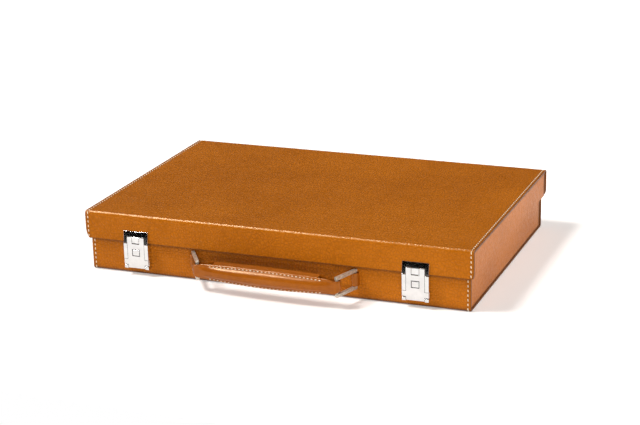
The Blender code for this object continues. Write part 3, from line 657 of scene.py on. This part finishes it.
wraps = {
    "lid": {
        "node": "lid_leather_wrap", "finish": "wrap", "up": 1, "bend": 0.0030,
        "left": (0.0046, 0.012), "right": (0.0033, 0.0065),  # how the free corners are rounded
        "rimBurnishAndShade": 0.0013},
    "base": {
        "node": "base_leather_wrap", "finish": "lower", "up": -1, "bend": 0.003,
        # the base's rim dark reaches far below its burnished edge: painted shadow under the lid's
        # overhang
        "left": (0, 0.001), "right": (0, 0.001), "rimBurnishAndShade": 0.0040,
        "footShade": (0.0037, 0.0022)},  # painted shade along the foot, darker down to where it meets the floor: its height and how it fades
}
hide = {
    "thick": 0.0016,
    "edgeRound": 0.00055,
    "edgeSteps": 4,
    "edgeFade": 0.5,
    "besideEdge": (0.0011, 0.22),  # inset and how dark it is there
    "creaseInset": 0.0014,  # the crease tool's line beside the cut edge
    "creaseDepth": 0.00012,
    "creaseHalf": 0.0003,
    "creaseDark": (0.12, 0.45),
    "seamInset": 0.0030,
    "seamDepth": 0.00028,
    "seamHalf": 0.0009,
    "seamSteps": 8,
    "seamDark": (0.06, 0.34),
    "seamFade": ((0.0016, 0.03), (0.0028, 0.0)),
    "underEase": 0.4,  # a share of the edge's rounding
    "underDark": 0.8,
    "underFrom": 0.9,  # a share of the thickness
    "rimMarks": (0, 0.00012, 0.0003, 0.00055, 0.0009, 0.0014, 0.002, 0.0027, 0.0035),
    "wallSteps": 8,
    "bendSteps": 9,
    "step": 0.0034,
    "closest": 0.0008,
    "cornerReach": 0.012,
    "wander": 0.00010,
    "wanderSize": 42,
    "calm": 0.001,  # no wander this near to the cut edge
    "calmFade": 0.006,
    "bendDark": 0.05,
    "bendFade": 4,
    "shadeOver": 50,
}


def wrapPath(spec):
    low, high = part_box(spec["node"])
    side, r = high.y, spec["bend"]
    face, rim = (high.z, low.z) if spec["up"] > 0 else (low.z, high.z)
    flat = abs(face - rim) - r
    across = 2 * (side - r)
    quarter = r * math.pi / 2
    marks = list(hide["rimMarks"])
    near, walls, bends = marks[-1], hide["wallSteps"], hide["bendSteps"]
    marks += [near + (flat - near) * i / walls for i in range(1, walls + 1)]
    marks += [flat + quarter * i / bends for i in range(1, bends + 1)]
    count = int(across / hide["step"])
    marks += [flat + quarter + across * i / count for i in range(1, count // 2 + 1)]
    total = 2 * (flat + quarter) + across
    half = [m for m in marks if m < total / 2 - hide["closest"]]
    marks = half + [total / 2] + [total - m for m in reversed(half)]
    path = []
    for m in marks:
        d = min(m, total - m)
        if d <= flat:
            y, z, ny, nz = -side, d, -1.0, 0.0
        elif d <= flat + quarter:
            a = (d - flat) / r
            y, z = -side + r - r * math.cos(a), flat + r * math.sin(a)
            ny, nz = -math.cos(a), math.sin(a)
        else:
            y, z, ny, nz = -side + r + d - flat - quarter, flat + r, 0.0, 1.0
        flip = 1 if m <= total / 2 else -1
        path.append((m, d, flip * y, rim + spec["up"] * z, flip * ny, spec["up"] * nz))
    return path, total


def wrapColumns(half):
    # across the sheet at its outer face: x, depth and how burnished it is there
    e, t, turns = hide["edgeRound"], hide["thick"], hide["edgeSteps"]
    rim = [(half, t * 0.5, 1.0)]
    for i in range(turns + 1):
        a = math.radians(90 * i / turns)
        dark = 1.0 - hide["edgeFade"] * i / turns
        rim.append((half - e + e * math.cos(a), e - e * math.sin(a), dark))
    inset, dark = hide["besideEdge"]
    rim.append((half - inset, 0, dark))
    c, h, (beside, dark) = half - hide["creaseInset"], hide["creaseHalf"], hide["creaseDark"]
    rim += [(c + h, 0, beside), (c, hide["creaseDepth"], dark), (c - h, 0, beside)]
    s, h, (least, more) = half - hide["seamInset"], hide["seamHalf"], hide["seamDark"]
    for i in range(hide["seamSteps"] + 1):
        a = -1 + 2 * i / hide["seamSteps"]
        rim.append((s - a * h, hide["seamDepth"] * (1 - a * a) ** 2, least + more * (1 - a * a)))
    rim += [(s - inset, 0, dark) for inset, dark in hide["seamFade"]]
    start = rim[-1][0]
    count = int(2 * start / hide["step"])
    field = [(start - 2 * start * i / count, 0, 0.0) for i in range(1, count)]
    left = [(-x, d, b) for x, d, b in reversed(rim)]
    u, dark = e * hide["underEase"], hide["underDark"]
    under = [(-half, t - u, 1.0), (-half + u, t, dark), (half - u, t, dark), (half, t - u, 1.0)]
    return rim + field + left + under


def makeWrap(label):
    spec = wraps[label]
    low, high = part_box(spec["node"])
    half = high.x
    path, total = wrapPath(spec)
    columns = wrapColumns(half)
    t, e, calm, fade = hide["thick"], hide["edgeRound"], hide["calm"], hide["calmFade"]
    hold = half - hide["cornerReach"]
    points, burnish, rubbed = [], [], []
    for m, d, y, z, ny, nz in path:
        inset = e - math.sqrt(max(e * e - max(e - d, 0) ** 2, 0))
        onWall, onFlat = (abs(part) * hide["bendFade"] for part in (ny, nz))
        onBend = min(1.0, onWall, onFlat)
        dark = hide["bendDark"] * onBend
        # painted shade: the walls darken towards the floor
        if "footShade" in spec:
            top, soft = spec["footShade"]
            dark = within((top - z + low.z) / soft) * min(1.0, onWall)
        # dark from the rim's cut edge: burnished on the lid, and on the base also painted shadow
        # under the lid
        dark = max(dark, 1 - d / spec["rimBurnishAndShade"])
        for x, depth, worn in columns:
            wide, tall = spec["right" if x > 0 else "left"]
            reach = half - wide * (1 - math.sqrt(1 - max(1 - d / tall, 0) ** 2))
            if abs(x) > hold:
                x = math.copysign(hold + (abs(x) - hold) * (reach - hold) / (half - hold), x)
            deep = inset + (t - 2 * inset) * depth / t
            if depth < t * hide["underFrom"] and d > calm:
                ease = min(1.0, (d - calm) / fade, (half - abs(x)) / fade)
                wave = sag((x, y, z), hide["wander"], hide["wanderSize"]) + hide["wander"] * 0.5
                deep += max(0.0, wave) * max(ease, 0)
            points.append((x, y - ny * deep, z - nz * deep))
            burnish.append(min(1.0, max(worn, dark)))
            rubbed.append(onBend)
    wrap = tubePiece(label + "Wrap", points, len(columns))
    markPoints(wrap, "burnish", burnish)
    markPoints(wrap, "rubbed", rubbed)
    settle(wrap, spec["finish"], bodyOf(spec["node"]), hide["shadeOver"])
    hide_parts(spec["node"])
    return path, total, half


# saddle stitches, each a short run of thread with both ends pulled into the leather

seam = {
    "pitch": 0.0046,
    "length": 0.0031,
    "lengthSpread": (0.94, 1.05),
    "thread": 0.00048,
    "flat": 0.8,
    "pinch": 0.55,
    "pinchPower": 3,
    "rise": 0.00020,
    "sink": 0.00062,
    "sinkPower": 2.6,
    "slant": 7.0,
    "slantSpread": 3,
    "shift": 0.00008,
    "rings": 9,
    "sides": 8,
    "endInset": 0.003,
    "shadeOver": 60,
}


def stitchRow(name, places, body, look):
    points, faces = [], []
    rings, sides = look["rings"], look["sides"]
    for spot, along, up in places:
        along, up = Vector(along).normalized(), Vector(up).normalized()
        stray = look["slantSpread"]
        turn = math.radians(look["slant"] + chance.uniform(-stray, stray))
        across = up.cross(along).normalized()
        along = (along * math.cos(turn) + across * math.sin(turn)).normalized()
        across = up.cross(along)
        length = look["length"] * chance.uniform(*look["lengthSpread"])
        spot = Vector(spot) + along * chance.uniform(-look["shift"], look["shift"])
        start = len(points)
        for i in range(rings):
            v = -1 + 2 * i / (rings - 1)
            radius = look["thread"] * (1 - look["pinch"] * abs(v) ** look["pinchPower"])
            lift = look["rise"] - look["sink"] * abs(v) ** look["sinkPower"]
            middle = spot + along * (length / 2 * v) + up * lift
            for k in range(sides):
                a = 2 * math.pi * k / sides
                out, over = radius * math.cos(a), radius * look["flat"] * math.sin(a)
                points.append(middle + across * out + up * over)
        ends, wall = tubeFaces(rings, sides, start)
        faces += wall + ends
    row = rawPiece(name, points, faces)
    return settle(row, "thread", body, look["shadeOver"])


def alongPath(path, distance):
    for a, b in zip(path, path[1:]):
        if a[0] <= distance <= b[0]:
            f = (distance - a[0]) / (b[0] - a[0])
            y, z, ny, nz = (a[i] + (b[i] - a[i]) * f for i in range(2, 6))
            return y, z, ny, nz, b[2] - a[2], b[3] - a[3]


def stitchWrap(label, path, total, half):
    inset, sunk = seam["endInset"], hide["seamDepth"]
    run = total - 2 * inset
    count = int(run / seam["pitch"])
    for side, word in ((-1, "Left"), (1, "Right")):
        x = side * (half - hide["seamInset"])
        places = []
        for i in range(count + 1):
            y, z, ny, nz, dy, dz = alongPath(path, inset + run * i / count)
            places.append(((x, y - ny * sunk, z - nz * sunk), (0, dy, dz), (0, ny, nz)))
        stitchRow(f"{label}Stitches{word}", places, bodyOf(wraps[label]["node"]), seam)


for label in wraps:
    stitchWrap(label, *makeWrap(label))
print("outer leather sewn")

panelEase = {"end": (0.0004, 2), "binding": (0.0003, 2), "lining": (0.0003, 2)}  # width and steps
panelShadeRims = {  # where each border's painted shade starts to fade, and where it ends
    "lid": {"front": (0.0040, 0.0052), "back": (0.0040, 0.0052), "top": (0.0017, 0.0028)},
    "base": {"front": (0.0040, 0.0052), "back": (0.0040, 0.0052), "bottom": (0.0004, 0.0013)},
}
for half, rim in panelShadeRims.items():
    for side in ("left", "right"):
        name = f"{half}End{side.title()}"
        eased(f"{half}_{side}_leather", name, panelEase["end"], "end", rim)
    eased(f"{half}_rim_binding", f"{half}Binding", panelEase["binding"], "wrap")
    eased(f"{half}_lining", f"{half}Lining", panelEase["lining"], "suede")
print("end panels, bindings and linings eased")


# handle: two layers sewn along both edges over padding, left open round the ring bars

grip = {
    "centre": (0.0030415, -0.157739, 0.0212),
    "yaw": -1.181,
    "half": 0.0555,
    "halfSteps": 30,
    "barHalf": 0.0719726,
    "barSteps": 6,
    "endHalf": 0.004263,
    "endTurns": (15, 30, 45, 58, 69, 78, 84.5),
    "taper": 0.0665,
    "backTop": (0.0093, 0.0104),  # heights over the middle line, at the ends and in the middle
    "frontTop": (0.0080, 0.0092),
    "bottom": (0.0062, 0.0090),
    "topRow": (0.0058, 0.0079),
    "rowDark": 0.1,
    "lowerMargin": 0.00115,
    "notch": (0.0680, 0.0696),
    "underRing": 0.0066,
    "endLift": (0.0690, 0.0762, 0.0034),  # the bottom rises to the tip
    "frontThick": (0.93, 0.0005),  # share of the end's, and what the middle adds
    "frontFull": 0.0040,
    "fullReach": 0.0685,
    "fullPowers": (3, 0.8),  # how it fades to the ends
    "fullInset": 0.0007,  # the padding ends this far inside the stitches
    "fullSteps": 14,
    "fullRound": 2.6,
    "backFull": 0.0008,
    "backSteps": 6,
    "corner": 0.0009,
    "cornerMost": 0.4,
    "cornerSteps": 4,
    "topMarks": (0.25, 0.44, 0.47, 0.50, 0.75),
    "join": 0.47,  # the join of the two layers shows as a line
    "joinSunk": 0.0003,
    "joinDark": 0.45,
    "wander": 0.00012,
    "wanderSize": 60,
    "shadeOver": 38,
}


def gripShape(x):
    swell = max(0.0, 1 - (x / grip["half"]) ** 2)
    rise = max(0.0, 1 - (x / grip["taper"]) ** 2)
    levels = {}
    for key in ("backTop", "frontTop", "bottom", "topRow"):
        atEnd, inMiddle = grip[key]
        levels[key] = atEnd + (inMiddle - atEnd) * rise
    start, end = grip["notch"]
    cut = within((abs(x) - start) / (end - start))  # lower where the ring's arm passes
    for key in ("backTop", "frontTop"):
        levels[key] += (grip["underRing"] - levels[key]) * cut * cut * (3 - 2 * cut)
    start, end, lift = grip["endLift"]
    levels["bottom"] -= lift * within((abs(x) - start) / (end - start)) ** 2
    thick = grip["endHalf"]
    past = abs(x) - grip["barHalf"]
    if past > 0:
        thick = math.sqrt(max(thick * thick - past * past, 0.0))
    share, more = grip["frontThick"]
    levels["front"] = thick * share + more * swell
    levels["back"] = thick
    steep, soft = grip["fullPowers"]
    full = max(0.0, 1 - (abs(x) / grip["fullReach"]) ** steep) ** soft
    levels["full"] = grip["frontFull"] * full
    levels["backFull"] = grip["backFull"] * swell
    return levels


def gripHalf(top, backTop, row, at):
    # one half of the section, from the front's middle to the back's
    front, back = at["front"], at["back"]
    c = min(grip["corner"], front * grip["cornerMost"], back * grip["cornerMost"])
    swellTop = row - grip["fullInset"]
    steps, turns = grip["fullSteps"], grip["cornerSteps"]
    line = []
    for i in range(steps + 1):
        z = swellTop * math.sin(math.radians(90 * i / steps))
        line.append((front + at["full"] * (1 - (z / swellTop) ** grip["fullRound"]), z, 0.0))
    line.append((front, row, grip["rowDark"]))
    for i in range(turns + 1):
        a = math.radians(90 * i / turns)
        line.append((front - c + c * math.cos(a), top - c + c * math.sin(a), 0.0))
    wide = front + back - 2 * c
    for f in grip["topMarks"]:
        sunk, dark = (grip["joinSunk"], grip["joinDark"]) if f == grip["join"] else (0.0, 0.0)
        line.append((front - c - wide * f, top + (backTop - top) * f - sunk, dark))
    for i in range(turns + 1):
        a = math.radians(90 + 90 * i / turns)
        line.append((-back + c + c * math.cos(a), backTop - c + c * math.sin(a), 0.0))
    for i in range(1, grip["backSteps"]):
        f = 1 - i / grip["backSteps"]
        line.append((-back - at["backFull"] * (1 - f * f), (backTop - c) * f, 0.0))
    return line


def gripSection(x):
    at = gripShape(x)
    upper = gripHalf(at["frontTop"], at["backTop"], at["topRow"], at)
    lower = gripHalf(at["bottom"], at["bottom"], at["bottom"] - grip["lowerMargin"], at)
    tail = [(-at["back"] - at["backFull"], 0.0, 0.0)]
    return upper + tail + [(o, -z, b) for o, z, b in reversed(lower[1:])]


def gripPlace():
    turn = Matrix.Rotation(math.radians(grip["yaw"]), 4, "Z")
    return Matrix.Translation(grip["centre"]) @ turn


ringSlot = {
    "half": 0.002463,
    "turns": 12,
    "innerPast": 0.0003,
    "innerPoint": (0.0012, 0.0009),
    "tall": 0.012,
    "armHalf": 0.0029,  # room over the slot for the ring's arm, out to the back where it folds
    "armStart": {-1: 0.0622, 1: 0.0588},
    "armSlope": 0.001,
    "armInner": 0.0009,
    "armPast": 0.078,
    "armBack": 0.006,
    "armUnder": 0.00682,
    "armOver": 0.0125,
}


def gripTool(outline, side, low, high):
    place = gripPlace()
    corners = [place @ Vector((side * x, y, z)) for z in (low, high) for x, y in outline]
    return tubePiece("slotTool", corners, len(outline))


def slotTools(side):
    half, inner = ringSlot["half"], grip["half"] - ringSlot["innerPast"]
    outline = []
    for i in range(ringSlot["turns"] + 1):
        a = math.radians(-90 + 180 * i / ringSlot["turns"])
        outline.append((grip["barHalf"] + half * math.cos(a), half * math.sin(a)))
    point, blunt = ringSlot["innerPoint"]
    outline += [(inner, half), (inner - point, blunt), (inner - point, -blunt), (inner, -half)]
    slot = gripTool(outline, side, -ringSlot["tall"], ringSlot["tall"])

    half, inner = ringSlot["armHalf"], inner - ringSlot["armInner"]
    start, past, back = ringSlot["armStart"][side], ringSlot["armPast"], ringSlot["armBack"]
    outline = [(inner, -half), (past, -half), (past, back), (start, back)]
    outline += [(start - ringSlot["armSlope"], half), (inner, half)]
    return [slot, gripTool(outline, side, ringSlot["armUnder"], ringSlot["armOver"])]


def makeGrip():
    place = gripPlace()
    half, bar, steps = grip["half"], grip["barHalf"], grip["halfSteps"]
    stations = [i * half / steps for i in range(steps + 1)]
    steps = grip["barSteps"]
    stations += [half + (bar - half) * i / steps for i in range(1, steps + 1)]
    stations += [bar + grip["endHalf"] * math.sin(math.radians(a)) for a in grip["endTurns"]]
    stations = [-x for x in reversed(stations[1:])] + stations
    points, burnish = [], []
    for x in stations:
        for o, z, worn in gripSection(x):
            wander = sag((x, o, z), grip["wander"], grip["wanderSize"])
            points.append(place @ Vector((x, -o + wander, z)))
            burnish.append(worn)
    sleeve = tubePiece("gripLeather", points, len(gripSection(0)))
    markPoints(sleeve, "burnish", burnish)
    cutAway(sleeve, slotTools(-1) + slotTools(1))
    settle(sleeve, "grip", "handle", grip["shadeOver"])
    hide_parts("handle_leather", "handle_core")


gripSeam = dict(
    seam, pitch=0.00385, length=0.0023, thread=0.00044, slant=4.0, reach=0.0565, ahead=0.0005,
    tilt={1: 0.3, -1: 0.1}, backOut=0.3,
)


def gripRow(x, face, level):  # a point on a row of stitches
    at = gripShape(x)
    z = at["topRow"] if level > 0 else at["bottom"] - grip["lowerMargin"]
    y = -at["front"] if face > 0 else at["back"] + at["backFull"] * gripSeam["backOut"]
    return Vector((x, y, level * z))


def stitchGrip():
    place, reach = gripPlace(), gripSeam["reach"]
    turn = place.to_3x3()
    count = int(2 * reach / gripSeam["pitch"])
    for face, word in ((1, "Front"), (-1, "Back")):
        for level, tag in ((1, "Top"), (-1, "Bottom")):
            up = turn @ Vector((0, -face, level * gripSeam["tilt"][face]))
            places = []
            for i in range(count + 1):
                x = -reach + 2 * reach * i / count
                here = gripRow(x, face, level)
                ahead = gripRow(x + gripSeam["ahead"], face, level)
                places.append((place @ here, turn @ (ahead - here), up))
            stitchRow(f"gripStitches{word}{tag}", places, "handle", gripSeam)


handleEase = {"ring": (0.00028, 3), "keeper": (0.00035, 3)}

makeGrip()
stitchGrip()
for side in ("left", "right"):
    eased(f"handle_{side}_ring", f"{side}Ring", handleEase["ring"], "nickel")
    eased(f"handle_{side}_keeper", f"{side}Keeper", handleEase["keeper"], "grip")
print("handle, rings and keepers made")


# latches

# the squared cheek over the end of a hasp's pin, and the packing behind the hasp's wing
cheeks = {
    "Ear": {"y": (-0.00003, 0.0046), "z": (-0.00003, 0.0033)},
    "Packing": {"y": (0.0020, 0.0056), "z": (0.0033, 0.0098)},
}
cheek = {"wide": 0.0038, "proud": 0.00003, "ease": (0.00025, 3)}


def makeCheek(nodeName, name, end, reach):
    low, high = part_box(nodeName)
    edge = high.x if end > 0 else low.x
    x0, x1 = sorted((edge + end * cheek["proud"], edge - end * cheek["wide"]))
    y0, y1 = (low.y + y for y in reach["y"])
    levels = [low.z + z for z in reach["z"]]
    outline = ((x0, y0), (x1, y0), (x1, y1), (x0, y1))
    block = tubePiece(name, [(x, y, z) for z in levels for x, y in outline], len(outline))
    easeEdges(block, *cheek["ease"])
    settle(block, "chrome", bodyOf(nodeName), easing["shadeOver"])
    flatten(block)


latchEase = {
    "plate": (0.00022, 3), "button": (0.00045, 3), "hasp": (0.00030, 3), "catch": (0.00060, 3),
}
latchPinEase = (0.00020, 2)
for side in ("left", "right"):
    for part, ease in latchEase.items():
        eased(f"latch_{side}_{part}", f"{side}Latch{part.title()}", ease, "chrome")
    eased(f"latch_{side}_pin", f"{side}LatchPin", latchPinEase, "steel")
    for end, word in ((-1, "Left"), (1, "Right")):
        for part, reach in cheeks.items():
            makeCheek(f"latch_{side}_plate", f"{side}Latch{part}{word}", end, reach)
print("latches made")


# hinges and their slotted screws

hingeEase = {"leaf": (0.00018, 2), "pin": (0.00020, 2)}
for side in ("left", "right"):
    for half in ("base", "lid"):
        name = f"{side}Hinge{half.title()}Leaf"
        eased(f"hinge_{side}_{half}_leaf", name, hingeEase["leaf"], "steel")
    eased(f"hinge_{side}_pin", f"{side}HingePin", hingeEase["pin"], "steel")

screw = {
    "head": 0.0020,
    "headUnder": 0.97,
    "headEdge": 0.0001,
    "dome": 0.0008,
    "domeSteps": 6,
    "shank": 0.0009,
    "point": 0.0012,
    "least": 0.0002,
    "slotWide": 0.00045,
    "slotDeep": 0.0004,
    "slotLong": 1.2,
    "slotTall": 0.002,
    "sides": 28,
}


def makeScrew(nodeName, name, turn):
    low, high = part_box(nodeName)
    x, z = (low.x + high.x) / 2, (low.z + high.z) / 2
    head, shank, edge, steps = (screw[k] for k in ("head", "shank", "headEdge", "domeSteps"))
    seat = high.y - screw["dome"]
    profile = [(low.y, screw["least"]), (low.y + screw["point"], shank), (seat, shank)]
    profile += [(seat, head * screw["headUnder"]), (seat + edge, head)]
    for i in range(1, steps + 1):
        a = math.radians(90 * i / steps)
        y = seat + edge + (screw["dome"] - edge) * math.sin(a)
        profile.append((y, max(head * math.cos(a), screw["least"])))
    sides = screw["sides"]
    points = []
    for y, r in profile:
        for k in range(sides):
            a = 2 * math.pi * k / sides
            points.append((x + r * math.cos(a), y, z + r * math.sin(a)))
    body = tubePiece(name, points, sides)
    spin = Matrix.Translation((x, 0, z)) @ Matrix.Rotation(math.radians(turn), 4, "Y")
    wide, long = screw["slotWide"] / 2, head * screw["slotLong"]
    outline = ((-1, -1), (1, -1), (1, 1), (-1, 1))
    blade = []
    for b in (0, 1):
        y = high.y - screw["slotDeep"] + b * screw["slotTall"]
        blade += [spin @ Vector((a * long, y, c * wide)) for a, c in outline]
    cutAway(body, [tubePiece("slotBlade", blade, len(outline))])
    settle(body, "steel", bodyOf(nodeName), easing["shadeOver"])
    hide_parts(nodeName)


for side in ("left", "right"):
    for half in ("base", "lid"):
        for i in (1, 2):
            name = f"{side}{half.title()}Screw{i}"
            makeScrew(f"hinge_{side}_{half}_screw_{i}", name, chance.uniform(0, 180))
print("hinges and screws made")


# trays

trayEase = (0.0006, 3)
trays = {
    "chip_tray_left": "chipTrayLeft", "chip_tray_right": "chipTrayRight", "card_tray": "cardTray",
}
for nodeName, name in trays.items():
    eased(nodeName, name, trayEase, "tray")
print("trays eased")

for node in nodes.values():
    slot = node.data.materials[0].name
    if slot in slotFinish:
        node.material_slots[0].material = finishes[slotFinish[slot]]
